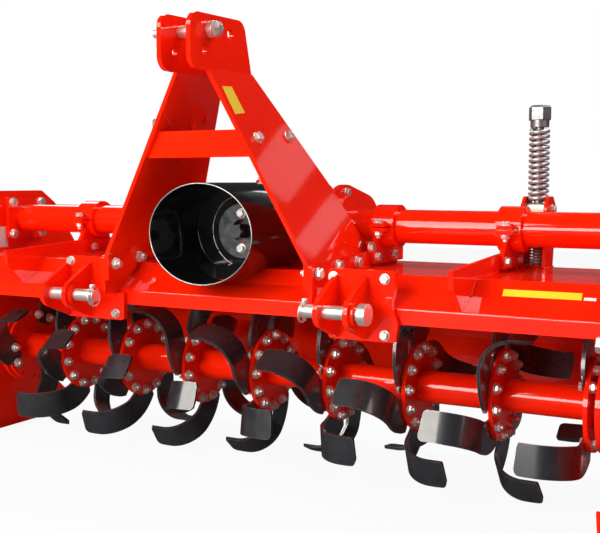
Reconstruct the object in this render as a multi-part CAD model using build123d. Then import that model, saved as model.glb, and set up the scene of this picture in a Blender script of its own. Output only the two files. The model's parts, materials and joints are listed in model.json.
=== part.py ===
from build123d import *
import math
import os

# A tractor-mounted rotary tiller: three-point mast over a folded deck, a gearbox and cross tube
# above it, and a rotor of bent blades between the two side plates.
# Millimetres. X runs across the width, -Y is the front (tractor side), Z is up from the floor.
# Places are measured from the rotor's axle in Y and from the floor in Z.

# ---- driving dimensions -------------------------------------------------------------------
AXLE_Z = 275.0              # rotor axle above the soles of the skids
ORIGIN_SHIFT_Y = 22.5       # moves the rotor axle so that the origin is the middle of the box
HALF_WIDTH = 985.0          # inner face of each side plate
SIDE_T = 12.0               # side plate thickness
PLATE_T = 12.0              # mast, support and hitch plates
SHEET_T = 5.0               # deck and tailboard sheet
BEND_R = 7.0                # outer radius of the sheets' folds

FLANGE_STEP = 225.0         # between the rotor's nine flanges
FLANGE_COUNT = 9
FLANGE_R = 116.0
FLANGE_T = 10.0
BOLT_CIRCLE_R = 100.0
BOLTS_PER_FLANGE = 12
ROTOR_TUBE_R = 41.5
JOURNAL_R = 25.0
RUNNING = 0.08              # radial clearance of a shaft in its bearing

BLADE_T = 8.0
BLADE_REACH = 131.0         # sideways, from the flange to the blade's tip
BLADE_BEND_R = 88.0         # outer radius of the bend
BLADE_LAG = 45.7            # degrees from the tip's middle to the middle of its two bolts
HELIX_STEP = 15.0           # degrees from one flange to the next
LAST_LEFT_TIP = 115.3       # tip angle of the last flange's left blades, from the top to the front
# the blade's tip edge, seen along the axle with the tip upwards: leading and trailing corners
TIP_LEAD, TIP_TRAIL = (-34.6, 250.6), (28.7, 208.0)
TIP_CORNER_R = 13.0

TUBE_Y, TUBE_Z = 60.0, 687.0
TUBE_R = 44.5
TUBE_WALL = 6.0
DRIVE_FLANGE_R = 82.0       # flange that joins each tube to the gearbox

HITCH_X = {"right": 396.5, "left": -432.5}      # middles of the lower hitch brackets' gaps
HITCH_Y, HITCH_Z = -373.0, 506.0
HITCH_PIN_R = 16.0
TOP_Y, TOP_Z = -368.0, 1172.0
TOP_PIN_R = 14.5
PTO_Z = 675.0

HINGE_Y, HINGE_Z = 312.0, 520.0
ROD_Y = 170.0
ROD_PIN_Z = 556.0
ROD_R = 11.0

SUPPORT_X = 306.0           # inner face of each support plate
GUSSET_X = 656.0            # inner face of each deck gusset

# deck's outer surface, from the lip's lower edge to the rear: Y, Z
DECK_LINE = [(-285, 476), (-285, 514), (-231, 545), (-202, 584), (184, 584), (322, 545)]


# ---- helpers ------------------------------------------------------------------------------
def save(name, shape):
    """Write one sub-part, moved to the part's origin."""
    shape = Pos(0, ORIGIN_SHIFT_Y, 0) * shape
    solids = shape.solids()
    export_step(Compound(children=list(solids)) if len(solids) > 1 else solids[0], f"parts/{name}.step")


def side_profile(points, x_low, x_high, radius=0.0, corners=None):
    """Plate in a YZ plane from its outline, given as (Y, Z) points, with rounded corners."""
    face = make_face(Polyline(*[(y, z) for y, z in points], close=True))
    if radius:
        picked = face.vertices()
        if corners is not None:
            picked = [v for v in picked if any(math.dist((v.X, v.Y), c) < 1 for c in corners)]
        face = fillet(picked, radius)
    plane = Plane(origin=(x_low, 0, 0), x_dir=(0, 1, 0), z_dir=(1, 0, 0))
    return extrude(plane * face, x_high - x_low)


def thick_line(points, thickness):
    """Closed outline of a folded sheet: the line, and the same line moved inward."""
    lower = []
    for i, (y, z) in enumerate(points):
        before = points[i - 1] if i else None
        after = points[i + 1] if i + 1 < len(points) else None
        turns = []
        for a, b in ((before, (y, z)), ((y, z), after)):
            if a is None or b is None:
                continue
            length = math.dist(a, b)
            turns.append(((b[1] - a[1]) / length, -(b[0] - a[0]) / length))
        ny = sum(t[0] for t in turns) / len(turns)
        nz = sum(t[1] for t in turns) / len(turns)
        scale = thickness / (ny * ny + nz * nz)
        lower.append((y + ny * scale, z + nz * scale))
    return list(points) + lower[::-1]


def folded_sheet(points, thickness, x_low, x_high):
    """Bent sheet along X: the outer line's inner folds are rounded by BEND_R, as on a press brake."""
    outline = thick_line(points, thickness)
    face = make_face(Polyline(*outline, close=True))
    folds = points[1:-1]
    outer = [v for v in face.vertices() if any(math.dist((v.X, v.Y), c) < 1 for c in folds)]
    face = fillet(outer, BEND_R)
    inner_folds = outline[len(points) + 1:-1]
    inner = [v for v in face.vertices() if any(math.dist((v.X, v.Y), c) < 1 for c in inner_folds)]
    face = fillet(inner, BEND_R - thickness / 2)
    plane = Plane(origin=(x_low, 0, 0), x_dir=(0, 1, 0), z_dir=(1, 0, 0))
    return extrude(plane * face, x_high - x_low)


def rod_x(x_low, x_high, y, z, r):
    """Round bar along X."""
    plane = Plane(origin=(x_low, y, z), x_dir=(0, 1, 0), z_dir=(1, 0, 0))
    return extrude(plane * Circle(r), x_high - x_low)


def rod_y(y_low, y_high, x, z, r):
    """Round bar along Y."""
    plane = Plane(origin=(x, y_low, z), x_dir=(1, 0, 0), z_dir=(0, 1, 0))
    return extrude(plane * Circle(r), y_high - y_low)


def rod_z(z_low, z_high, x, y, r):
    """Upright round bar."""
    return extrude(Plane(origin=(x, y, z_low)) * Circle(r), z_high - z_low)


def block(x_low, x_high, y_low, y_high, z_low, z_high):
    size = (x_high - x_low, y_high - y_low, z_high - z_low)
    middle = ((x_low + x_high) / 2, (y_low + y_high) / 2, (z_low + z_high) / 2)
    return Pos(*middle) * Box(*size)


def mirrored(shape):
    return mirror(shape, about=Plane.YZ)


def save_pair(name, shape):
    """The right-hand piece as modelled, and its mirror image on the left."""
    save(f"{name}_right", shape)
    save(f"{name}_left", mirrored(shape))


# ---- deck and side plates -----------------------------------------------------------------
ROD_X = {"right": 709.0, "left": -500.0}        # the tailboard's two spring rods
KNUCKLE_R = 14.0
HINGE_ROD_R = 8.0
DECK_KNUCKLES = [-800.0, -300.0, 300.0, 800.0]   # middles, each as long as KNUCKLE_L
BOARD_KNUCKLES = [-880.0, -380.0, 220.0, 880.0]
KNUCKLE_L = 60.0


def deck():
    sheet = folded_sheet(DECK_LINE, SHEET_T, -HALF_WIDTH, HALF_WIDTH)
    for x in DECK_KNUCKLES:
        barrel = rod_x(x - KNUCKLE_L / 2, x + KNUCKLE_L / 2, HINGE_Y, HINGE_Z, KNUCKLE_R)
        strap = side_profile([(300, 546), (322, 542), (326, HINGE_Z), (HINGE_Y, HINGE_Z)],
                             x - KNUCKLE_L / 2, x + KNUCKLE_L / 2)
        sheet += barrel + strap
    sheet -= rod_x(-HALF_WIDTH, HALF_WIDTH, HINGE_Y, HINGE_Z, HINGE_ROD_R)
    for x in ROD_X.values():
        sheet -= rod_z(500, 640, x, ROD_Y, 20)
    return sheet


SIDE_LINE = [(-330, 640), (-330, 300), (-235, 112), (225, 112), (330, 260), (330, 560), (208, 734),
             (146, 776), (-56, 776), (-150, 640)]


def side_plate():
    plate = side_profile(SIDE_LINE, HALF_WIDTH, HALF_WIDTH + SIDE_T, 22)
    plate -= rod_x(HALF_WIDTH, HALF_WIDTH + SIDE_T, 0, AXLE_Z, 60)
    plate -= rod_x(HALF_WIDTH, HALF_WIDTH + SIDE_T, TUBE_Y, TUBE_Z, TUBE_R)
    return plate


# ---- drive: gearbox, cross tube, side case ------------------------------------------------
GEARBOX_HALF_X = 208.0
CASE_DEPTH = 52.0
COVER_T = 16.0
COVER_LINE_TOP = 798.0


def gearbox():
    """Casting with an upright middle, a barrel along the cross tube and a wide cover at each end."""
    body = block(-110, 110, -60, 185, 592, COVER_LINE_TOP)
    body = fillet(body.edges(), 18)
    barrel_end = GEARBOX_HALF_X - COVER_T
    body += rod_x(-barrel_end, barrel_end, TUBE_Y, TUBE_Z, 78)
    cover = make_hull([*(Pos(60, 680) * Circle(118)).edges(), *(Pos(180, 665) * Circle(106)).edges()])
    for x in (-GEARBOX_HALF_X, barrel_end):
        plane = Plane(origin=(x, 0, 0), x_dir=(0, 1, 0), z_dir=(1, 0, 0))
        end = extrude(plane * cover, COVER_T)
        body += end & block(x, x + COVER_T, -100, 320, 588, 820)
    for x in (-150, 150):                   # ribs between the middle and the covers
        rib = [(TUBE_Y - 60, 620), (TUBE_Y + 60, 620), (TUBE_Y + 96, 700), (TUBE_Y, 784), (TUBE_Y - 84, 700)]
        body += side_profile(rib, x - 5, x + 5)
    body += rod_y(-128, -60, 0, PTO_Z, 88)
    body += block(-80, 80, -20, 150, 584, 600)
    body += rod_z(COVER_LINE_TOP, COVER_LINE_TOP + 12, -50, 40, 17)
    body -= rod_y(-130, -30, 0, PTO_Z, 30 + RUNNING)
    return body


def cross_tube():
    inner = GEARBOX_HALF_X
    tube = rod_x(inner, HALF_WIDTH + SIDE_T, TUBE_Y, TUBE_Z, TUBE_R)
    tube += rod_x(inner, inner + COVER_T, TUBE_Y, TUBE_Z, DRIVE_FLANGE_R)
    end = [(TUBE_Y - 84, TUBE_Z - 68), (TUBE_Y + 84, TUBE_Z - 68), (TUBE_Y + 84, TUBE_Z + 68),
           (TUBE_Y - 84, TUBE_Z + 68)]
    tube += side_profile(end, HALF_WIDTH - 14, HALF_WIDTH, 14)
    tube -= rod_x(inner, HALF_WIDTH + SIDE_T, TUBE_Y, TUBE_Z, TUBE_R - TUBE_WALL)
    return tube


def side_case():
    """Drive case outside the +X side plate, from the cross tube to the rotor."""
    x0 = HALF_WIDTH + SIDE_T
    plane = Plane(origin=(x0, 0, 0), x_dir=(0, 1, 0), z_dir=(1, 0, 0))


    def outline(margin):
        upper = Pos(TUBE_Y, TUBE_Z) * Circle(60 + margin)
        lower = Pos(0, AXLE_Z) * Circle(80 + margin)
        return make_hull([*upper.edges(), *lower.edges()])

    case = extrude(plane * outline(18), CASE_DEPTH)
    case += Pos(CASE_DEPTH, 0, 0) * extrude(plane * outline(0), 10)
    case -= rod_x(x0, x0 + 40, 0, AXLE_Z, JOURNAL_R + RUNNING)
    return case


def bearing_hub():
    x0 = -(HALF_WIDTH + SIDE_T)
    hub = rod_x(x0 - 14, x0, 0, AXLE_Z, 92)
    hub += rod_x(x0 - 46, x0 - 14, 0, AXLE_Z, 58)
    hub -= rod_x(x0 - 40, x0, 0, AXLE_Z, JOURNAL_R + RUNNING)
    return hub


# ---- PTO shaft and its shield -------------------------------------------------------------
SHIELD_FRONT, SHIELD_REAR = -349.0, -62.0
SHIELD_WALL = -134.0        # front face of the wall that closes the shield round the shaft


def pto_shield():
    """Oval tunnel over the shaft, closed at the gearbox by a stepped wall, resting on the deck."""
    plane = Plane(origin=(0, SHIELD_FRONT, PTO_Z), x_dir=(1, 0, 0), z_dir=(0, 1, 0))
    length = SHIELD_REAR - SHIELD_FRONT
    shell = extrude(plane * Ellipse(155.5, 129), length) - extrude(plane * Ellipse(151.5, 125), length)
    wall_plane = Plane(origin=(0, SHIELD_WALL, PTO_Z), x_dir=(1, 0, 0), z_dir=(0, 1, 0))
    shell += extrude(wall_plane * Ellipse(153, 127), 4)
    shell += rod_y(SHIELD_WALL - 7, SHIELD_WALL, 0, PTO_Z, 97)
    shell += rod_y(SHIELD_WALL - 15, SHIELD_WALL, 0, PTO_Z, 74)
    shell -= rod_y(SHIELD_WALL - 20, SHIELD_REAR, 0, PTO_Z, 31)
    under_deck = [*DECK_LINE[:5], (184, 476)]
    shell -= side_profile(under_deck, -200, 200)
    return shell


def input_shaft():
    shaft = rod_y(-182, -31, 0, PTO_Z, 17.5)
    shaft += rod_y(-124, -31, 0, PTO_Z, 30)
    return shaft


# ---- mast ---------------------------------------------------------------------------------
EAR_IN = 37.0
BEND_Z = 1080.0
FOOT_Z = 612.0
FOOT_X = SUPPORT_X - PLATE_T


def mast_plate():
    """One side of the mast: upright ear, splayed leg, upright foot."""
    front_low, front_high, rear_high = (-449, 1073), (-449, 1207), (-212, 1212)
    ear = side_profile([(-374, 1073), front_low, front_high, rear_high, (-176, BEND_Z)], EAR_IN,
                       EAR_IN + PLATE_T, 34, [front_low, front_high, rear_high])
    ear -= rod_x(0, 100, TOP_Y, TOP_Z, TOP_PIN_R + 0.1)
    ear -= rod_x(0, 100, -276, 1172, 13)
    ear -= rod_x(0, 100, -392, 1120, 10)
    leg_line = [(EAR_IN, BEND_Z + 2), (EAR_IN + PLATE_T, BEND_Z + 2), (FOOT_X + PLATE_T, FOOT_Z),
                (FOOT_X + PLATE_T, 540), (FOOT_X, 540), (FOOT_X, FOOT_Z)]
    leg = make_face(Polyline(*leg_line, close=True))
    leg = extrude(Plane(origin=(0, 100, 0), x_dir=(1, 0, 0), z_dir=(0, -1, 0)) * leg, 600)
    leg_side = [(-376, 1090), (-376, BEND_Z), (-345, FOOT_Z), (-345, 545), (-285, 545), (-231, 568),
                (-210, 598), (15, 598), (15, 632), (-36, 801), (-176, 1090)]
    return ear + (leg & side_profile(leg_side, 0, 400))


def mast_brace():
    """Folded channel across the mast's two legs."""
    low, high = 866.0, 932.0
    front, rear = -350.0, -200.0
    t = 8.0

    def leg_x(z):
        return EAR_IN + (BEND_Z - z) / (BEND_Z - FOOT_Z) * (FOOT_X - EAR_IN)

    wide, narrow = leg_x(low), leg_x(high)
    web = make_face(Polyline((-wide, low), (wide, low), (narrow, high), (-narrow, high), close=True))
    brace = extrude(Plane(origin=(0, front + t, 0), x_dir=(1, 0, 0), z_dir=(0, -1, 0)) * web, t)
    for s in (-1, 1):
        corners = [(s * wide, low), (s * narrow, high), (s * (narrow - t), high), (s * (wide - t), low)]
        side = make_face(Polyline(*corners, close=True))
        brace += extrude(Plane(origin=(0, rear, 0), x_dir=(1, 0, 0), z_dir=(0, -1, 0)) * side, rear - front)
    return brace


def top_pin():
    pin = rod_x(-78, 60, TOP_Y, TOP_Z, TOP_PIN_R)
    pin += rod_x(50, 66, TOP_Y, TOP_Z, 20)
    return pin


# ---- supports, hitch brackets and gussets --------------------------------------------------
SUPPORT_LOW_Z = 508.0


def support_plate():
    line = [(-345, 610), (-345, SUPPORT_LOW_Z), (-285, SUPPORT_LOW_Z), (-285, 514), (-231, 545), (-202, 584),
            (160, 584), (160, 622), (-24, 625)]
    return side_profile(line, SUPPORT_X, SUPPORT_X + PLATE_T, 8, [(-345, 610), (160, 622)])


HITCH_GAP = 64.0            # between the two ears of a bracket
EAR_NOSE_R = 38.0
PLATE_FRONT, PLATE_BACK = -300.0, -285.0
# front outline of each bracket's plate: X, Z
BRACKET_PLATES = {
    "right": [(337, 434), (512, 434), (518, 477), (501, 520), (510, 562), (510, 602), (337, 602)],
    "left": [(-478, 602), (-324, 602), (-324, SUPPORT_LOW_Z), (-280, SUPPORT_LOW_Z), (-280, 434),
             (-478, 434)],
}


def hitch_bracket(side):
    """Plate on the deck's lip with two round-nosed ears for the lower link pin."""
    x_pin = HITCH_X[side]
    line = BRACKET_PLATES[side]
    front = make_face(Polyline(*line, close=True))
    rounded = [v for v in front.vertices() if abs(v.Y - SUPPORT_LOW_Z) > 1]
    front = fillet(rounded, 11)
    thickness = PLATE_BACK - PLATE_FRONT
    plane = Plane(origin=(0, PLATE_BACK, 0), x_dir=(1, 0, 0), z_dir=(0, -1, 0))
    bracket = extrude(plane * front, thickness)
    nose = Pos(HITCH_Y, HITCH_Z) * Circle(EAR_NOSE_R)
    base = Pos(PLATE_FRONT + 1, 513) * Rectangle(2, 152)
    ear_face = make_hull([*nose.edges(), *base.edges()])
    for x in (x_pin - HITCH_GAP / 2 - PLATE_T, x_pin + HITCH_GAP / 2):
        plane = Plane(origin=(x, 0, 0), x_dir=(0, 1, 0), z_dir=(1, 0, 0))
        bracket += extrude(plane * ear_face, PLATE_T)
    boss_x = x_pin + HITCH_GAP / 2 + PLATE_T
    bracket += rod_x(boss_x, boss_x + 8, HITCH_Y, HITCH_Z, 28)
    bracket -= rod_x(x_pin - 100, x_pin + 100, HITCH_Y, HITCH_Z, HITCH_PIN_R + 0.1)
    return bracket


def lower_pin(side):
    """Pin through a bracket; the right one's head is outboard, the left one's is a plain collar."""
    x_pin = HITCH_X[side]
    if side == "right":
        pin = rod_x(x_pin - 90, x_pin + 62, HITCH_Y, HITCH_Z, HITCH_PIN_R)
        return pin + rod_x(x_pin + 60, x_pin + 80, HITCH_Y, HITCH_Z, 25)
    pin = rod_x(x_pin - 60, x_pin + 118, HITCH_Y, HITCH_Z, HITCH_PIN_R)
    return pin + rod_x(x_pin - 52, x_pin - 46, HITCH_Y, HITCH_Z, 22)


def tube_clamp(x_plate, x_ring_low, x_ring_high, foot_rear):
    """Split ring round the cross tube with a bolting lip in front and a foot beside the plate below."""
    ring = rod_x(x_ring_low, x_ring_high, TUBE_Y, TUBE_Z, TUBE_R + 13)
    ring += block(x_ring_low + 12, x_ring_high - 12, TUBE_Y - 86, TUBE_Y, TUBE_Z - 11, TUBE_Z + 11)
    ring += side_profile([(TUBE_Y - 84, 590), (foot_rear, 590), (foot_rear, 622), (TUBE_Y + 40, TUBE_Z),
                          (TUBE_Y - 46, TUBE_Z - 8), (TUBE_Y - 84, 626)], x_plate, x_plate + PLATE_T)
    ring -= rod_x(x_ring_low, x_ring_high, TUBE_Y, TUBE_Z, TUBE_R)
    ring -= block(x_ring_low - 5, x_ring_high + 5, TUBE_Y - 90, TUBE_Y + 90, TUBE_Z - 1.5, TUBE_Z + 1.5)
    return ring


def deck_gusset():
    line = [(-285, 515), (-296, 528), (-344, 570), (-350, 612), (-4, 627), (150, 627), (150, 584),
            (-202, 584), (-231, 545)]
    return side_profile(line, GUSSET_X, GUSSET_X + PLATE_T)


# ---- spring rods of the tailboard -----------------------------------------------------------
GUIDE_LOW, GUIDE_HIGH = 719.0, 751.0    # guide block that the rod slides through
EAR_GAP = 26.0                          # from the rod's axis to each bracket ear
EAR_T = 8.0
SPRING_R, SPRING_HOLE_R = 23.5, 15.5
WASHER_R, WASHER_T = 24.0, 6.0
NUT_Z = 964.0
COLLAR_Z = 700.0


def rod_bracket(x):
    """Two upright ears on the deck behind the tube, joined by a foot that carries the lower spring."""
    rounded = [(218, 742), (190, 768), (150, 768), (124, 742)]
    ear_line = [(124, 584), (196, 584), (214, 690), *rounded]
    bracket = block(x - EAR_GAP, x + EAR_GAP, 146, 196, 584, 584 + WASHER_T)
    for s in (-1, 1):
        low, high = sorted((x + s * EAR_GAP, x + s * (EAR_GAP + EAR_T)))
        bracket += side_profile(ear_line, low, high, 14, rounded)
    return bracket - rod_z(584, 584 + WASHER_T, x, ROD_Y, ROD_R + 4)


def guide_block(x):
    """Block between the ears that the rod slides through."""
    guide = block(x - EAR_GAP, x + EAR_GAP, ROD_Y - 22, ROD_Y + 22, GUIDE_LOW, GUIDE_HIGH)
    guide = fillet(guide.edges().filter_by(Axis.X), 8)
    return guide - rod_z(GUIDE_LOW, GUIDE_HIGH, x, ROD_Y, ROD_R + RUNNING)


def spring_rod(x):
    rod = rod_z(545, NUT_Z + 38, x, ROD_Y, ROD_R)
    rod += extrude(Plane(origin=(x, ROD_Y, NUT_Z)) * RegularPolygon(22, 6), 34)
    rod += rod_z(NUT_Z - 18, NUT_Z, x, ROD_Y, WASHER_R)
    rod += rod_z(COLLAR_Z, COLLAR_Z + WASHER_T, x, ROD_Y, WASHER_R)
    half = 13
    rod += side_profile([(ROD_Y - half, 543), (ROD_Y + half, 543), (ROD_Y + half, 575), (ROD_Y - half, 575)],
                        x - 8, x + 8)
    return rod + rod_x(x - 30, x + 30, ROD_Y, ROD_PIN_Z, 8)


def spring(x, z_low, z_high):
    """Envelope of a coil spring round the rod."""
    return rod_z(z_low, z_high, x, ROD_Y, SPRING_R) - rod_z(z_low, z_high, x, ROD_Y, SPRING_HOLE_R)


# ---- tailboard ----------------------------------------------------------------------------
BOARD_HALF = 968.0
BOARD_LINE = [(334, 509), (362, 452), (386, 350), (384, 205), (404, 190)]


def tailboard():
    board = folded_sheet(BOARD_LINE, SHEET_T, -BOARD_HALF, BOARD_HALF)
    for x in BOARD_KNUCKLES:
        low, high = x - KNUCKLE_L / 2, x + KNUCKLE_L / 2
        board += rod_x(low, high, HINGE_Y, HINGE_Z, KNUCKLE_R)
        strap = [(HINGE_Y, 534), (326, 524), (345, 487), (338, 484), (HINGE_Y, 506)]
        board += side_profile(strap, low, high)
    for x in ROD_X.values():
        for s in (-1, 1):
            low, high = sorted((x + s * 13, x + s * 21))
            arm_line = [(HINGE_Y, HINGE_Z + 13), (ROD_Y, ROD_PIN_Z + 16), (ROD_Y - 20, ROD_PIN_Z + 16),
                        (ROD_Y - 20, ROD_PIN_Z - 16), (HINGE_Y - 6, HINGE_Z - 14), (338, 484), (345, 487),
                        (326, HINGE_Z + 4)]
            slot = block(low, high, ROD_Y - 14, ROD_Y + 14, ROD_PIN_Z - 10, ROD_PIN_Z + 10)
            board += side_profile(arm_line, low, high) - slot
    board -= rod_x(-HALF_WIDTH, HALF_WIDTH, HINGE_Y, HINGE_Z, HINGE_ROD_R + RUNNING)
    return board


def hinge_rod():
    return rod_x(-930, 930, HINGE_Y, HINGE_Z, HINGE_ROD_R)


# ---- skids --------------------------------------------------------------------------------
SKID_LINE = [(-372, 132), (-352, 66), (-310, 24), (-245, 0), (262, 0), (330, 46)]


def skid():
    x0 = HALF_WIDTH + SIDE_T
    sole = side_profile(thick_line(SKID_LINE, -8.0), HALF_WIDTH + 5, x0 + 62)
    web_line = [(-310, 32), (-244, 8), (260, 8), (300, 34), (205, 120), (200, 235), (97, 235), (97, 120),
                (-97, 120), (-97, 235), (-200, 235), (-205, 120)]
    return sole + side_profile(web_line, x0, x0 + 8)


# ---- rotor --------------------------------------------------------------------------------
def flange_x(i):
    return (i - (FLANGE_COUNT - 1) / 2) * FLANGE_STEP


def at_angle(radius, degrees):
    """Place (Y, Z) on a circle round the axle; the angle runs from the top towards the front."""
    a = math.radians(degrees)
    return -radius * math.sin(a), AXLE_Z + radius * math.cos(a)


def tip_angle(i, side):
    """Angle of the first blade tip of flange i; side is -1 for left-turned blades, 1 for right."""
    left = LAST_LEFT_TIP + HELIX_STEP * (i - (FLANGE_COUNT - 1))
    return left + (60.0 if side > 0 else 0.0)


def rotor_tube():
    tube = rod_x(-905, 905, 0, AXLE_Z, ROTOR_TUBE_R)
    for i in range(FLANGE_COUNT):
        x = flange_x(i)
        disc = rod_x(x, x + FLANGE_T, 0, AXLE_Z, FLANGE_R)
        first = tip_angle(i, -1) + BLADE_LAG - 15
        for k in range(BOLTS_PER_FLANGE):
            y, z = at_angle(BOLT_CIRCLE_R, first + 30 * k)
            disc -= rod_x(x, x + FLANGE_T, y, z, 6.5)
        tube += disc
    neck, hub = 17, 12                      # lengths along X of the end's neck and hub disc
    for s in (-1, 1):
        end = flange_x(FLANGE_COUNT - 1) + FLANGE_T if s > 0 else flange_x(0)
        steps = [(end, end + s * neck, 58), (end + s * neck, end + s * (neck + hub), FLANGE_R),
                 (end, s * (HALF_WIDTH + SIDE_T + 36), JOURNAL_R)]
        for near, far, r in steps:
            tube += rod_x(min(near, far), max(near, far), 0, AXLE_Z, r)
    return tube


def blade(side, face):
    """One blade with its tip straight up from the axle at the origin; side is the way its tip turns.

    It is a bent band, leaning so that its leading edge stands further out, cut by two outlines: the
    blade seen along the axle, and the free end seen from above. face is where the band meets its flange.
    """
    s, r, t = side, BLADE_BEND_R, BLADE_T
    lean = math.degrees(math.atan2(TIP_LEAD[1] - TIP_TRAIL[1], TIP_TRAIL[0] - TIP_LEAD[0]))
    tip = TIP_LEAD[1] * math.cos(math.radians(lean)) + TIP_LEAD[0] * math.sin(math.radians(lean))
    knee = tip - r
    inside = face + s * t
    sq = math.sqrt(0.5)
    band = ThreePointArc((face, knee), (face + s * r * (1 - sq), knee + r * sq), (face + s * r, tip)).edges()
    band += Polyline((face + s * r, tip), (face + s * 150, tip), (face + s * 150, tip - t),
                     (face + s * r, tip - t)).edges()
    q = r - t
    band += ThreePointArc((face + s * r, tip - t), (face + s * (r - q * sq), knee + q * sq),
                          (inside, knee)).edges()
    band += Polyline((inside, knee), (inside, 0), (face, 0), (face, knee)).edges()
    bar = extrude(Plane(origin=(0, 220, 0), x_dir=(1, 0, 0), z_dir=(0, -1, 0)) * make_face(band), 440)
    bar = Rot(X=-lean) * bar
    # seen along the axle: leading edge, tip, trailing edge, bolted end
    beyond = 3.0
    lead = (TIP_LEAD[0], TIP_LEAD[1] + beyond)
    trail = (TIP_TRAIL[0], TIP_TRAIL[1] + beyond)
    edge = ThreePointArc((-104, 36), (-113, 100), (-86, 174)).edges()
    edge += Polyline((-86, 174), lead, trail, (-4.8, 158)).edges()
    edge += ThreePointArc((-4.8, 158), (-26, 118), (-30, 76)).edges()
    edge += Polyline((-30, 76), (-66, 34), (-90, 27), (-104, 36)).edges()
    plane = Plane(origin=(-200, 0, 0), x_dir=(0, 1, 0), z_dir=(1, 0, 0))
    outline = extrude(plane * make_face(edge), 400)
    # seen from above: the free end leans and has round corners
    low, high = TIP_LEAD[0], TIP_TRAIL[0]
    bend_x = face + s * 70
    lead_x, trail_x = face + s * (BLADE_REACH + 2), face + s * (BLADE_REACH - 4)
    end = make_face(Polyline((-s * 60, -160), (bend_x, -160), (bend_x, low - 3), (lead_x, low),
                             (trail_x, high), (bend_x, high), (bend_x, 80), (-s * 60, 80), close=True))
    corners = [v for v in end.vertices() if abs(v.X - face) > BLADE_REACH - 20]
    return bar & outline & extrude(fillet(corners, TIP_CORNER_R), tip + 80)


def blades(i, side_blades):
    """All blades of one flange, turned to their places; the first flange carries them on its other face."""
    made = []
    for side in (-1, 1):
        if not side_blades[side]:
            continue
        face = FLANGE_T if i == 0 else (0.0 if side < 0 else -BLADE_T)
        one = blade(side, face)
        for k in range(3):
            angle = tip_angle(i, side) + 120 * k
            turned = Rot(X=angle) * one
            made.append(Pos(flange_x(i), 0, AXLE_Z) * turned)
    return Compound(children=made)


# ---- build --------------------------------------------------------------------------------
def build():
    os.makedirs("parts", exist_ok=True)
    save("deck", deck())
    save_pair("side_plate", side_plate())
    save("gearbox", gearbox())
    save_pair("cross_tube", cross_tube())
    save("side_drive_case", side_case())
    save("bearing_hub", bearing_hub())
    save("pto_shield", pto_shield())
    save("input_shaft", input_shaft())
    save_pair("mast_plate", mast_plate())
    save("mast_brace", mast_brace())
    save("top_link_pin", top_pin())
    save_pair("support_plate", support_plate())
    for side in HITCH_X:
        save(f"hitch_bracket_{side}", hitch_bracket(side))
        save(f"lower_pin_{side}", lower_pin(side))
    save_pair("inner_tube_clamp", tube_clamp(SUPPORT_X + PLATE_T, 308, 370, 172))
    save_pair("outer_tube_clamp", tube_clamp(GUSSET_X + PLATE_T, 648, 712, 117))
    save_pair("deck_gusset", deck_gusset())
    for side, x in ROD_X.items():
        save(f"rod_bracket_{side}", rod_bracket(x))
        save(f"guide_block_{side}", guide_block(x))
        save(f"spring_rod_{side}", spring_rod(x))
        save(f"upper_spring_{side}", spring(x, GUIDE_HIGH, NUT_Z - 18))
        save(f"lower_spring_{side}", spring(x, 584 + WASHER_T, COLLAR_Z))
    save("tailboard", tailboard())
    save("hinge_rod", hinge_rod())
    save_pair("skid", skid())
    save("rotor_tube", rotor_tube())
    for i in range(FLANGE_COUNT):
        save(f"blades_{i + 1}", blades(i, {-1: i > 0, 1: i < FLANGE_COUNT - 1}))


build()
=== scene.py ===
"""Looks of a tractor rotary tiller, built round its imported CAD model."""
import json
import math
import random

import bpy
from mathutils import Matrix, Vector


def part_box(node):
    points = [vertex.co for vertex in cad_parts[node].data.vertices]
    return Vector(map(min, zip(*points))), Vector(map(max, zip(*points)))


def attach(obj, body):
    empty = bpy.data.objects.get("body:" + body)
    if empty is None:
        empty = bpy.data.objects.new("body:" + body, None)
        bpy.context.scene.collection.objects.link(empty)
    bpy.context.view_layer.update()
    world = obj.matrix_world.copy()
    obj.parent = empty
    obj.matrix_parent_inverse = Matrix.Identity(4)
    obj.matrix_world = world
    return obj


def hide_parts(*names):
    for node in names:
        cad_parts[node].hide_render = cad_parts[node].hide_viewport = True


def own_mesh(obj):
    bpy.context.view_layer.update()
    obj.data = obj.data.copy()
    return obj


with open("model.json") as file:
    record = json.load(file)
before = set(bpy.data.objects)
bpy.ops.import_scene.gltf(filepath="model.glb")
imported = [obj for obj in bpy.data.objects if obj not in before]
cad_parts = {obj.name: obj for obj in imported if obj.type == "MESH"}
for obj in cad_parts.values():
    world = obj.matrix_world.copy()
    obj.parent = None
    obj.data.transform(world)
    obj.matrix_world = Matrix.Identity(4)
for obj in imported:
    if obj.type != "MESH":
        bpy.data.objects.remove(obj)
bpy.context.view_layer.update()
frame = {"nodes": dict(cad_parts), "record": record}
random.seed(7)

MM = 0.001
JOINTS = {joint["name"]: joint for joint in frame["record"]["behaviour"]["joints"]}
AXLE = Vector(JOINTS["rotor_spin"]["pos_m"])


def at(x, y, z):
    """Place in metres from millimetres: x and z from the origin, y from the rotor's axle."""
    return Vector((x * MM, AXLE.y + y * MM, z * MM))


# ---- materials ----------------------------------------------------------------------------
BEVEL_SAMPLES = 6


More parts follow.
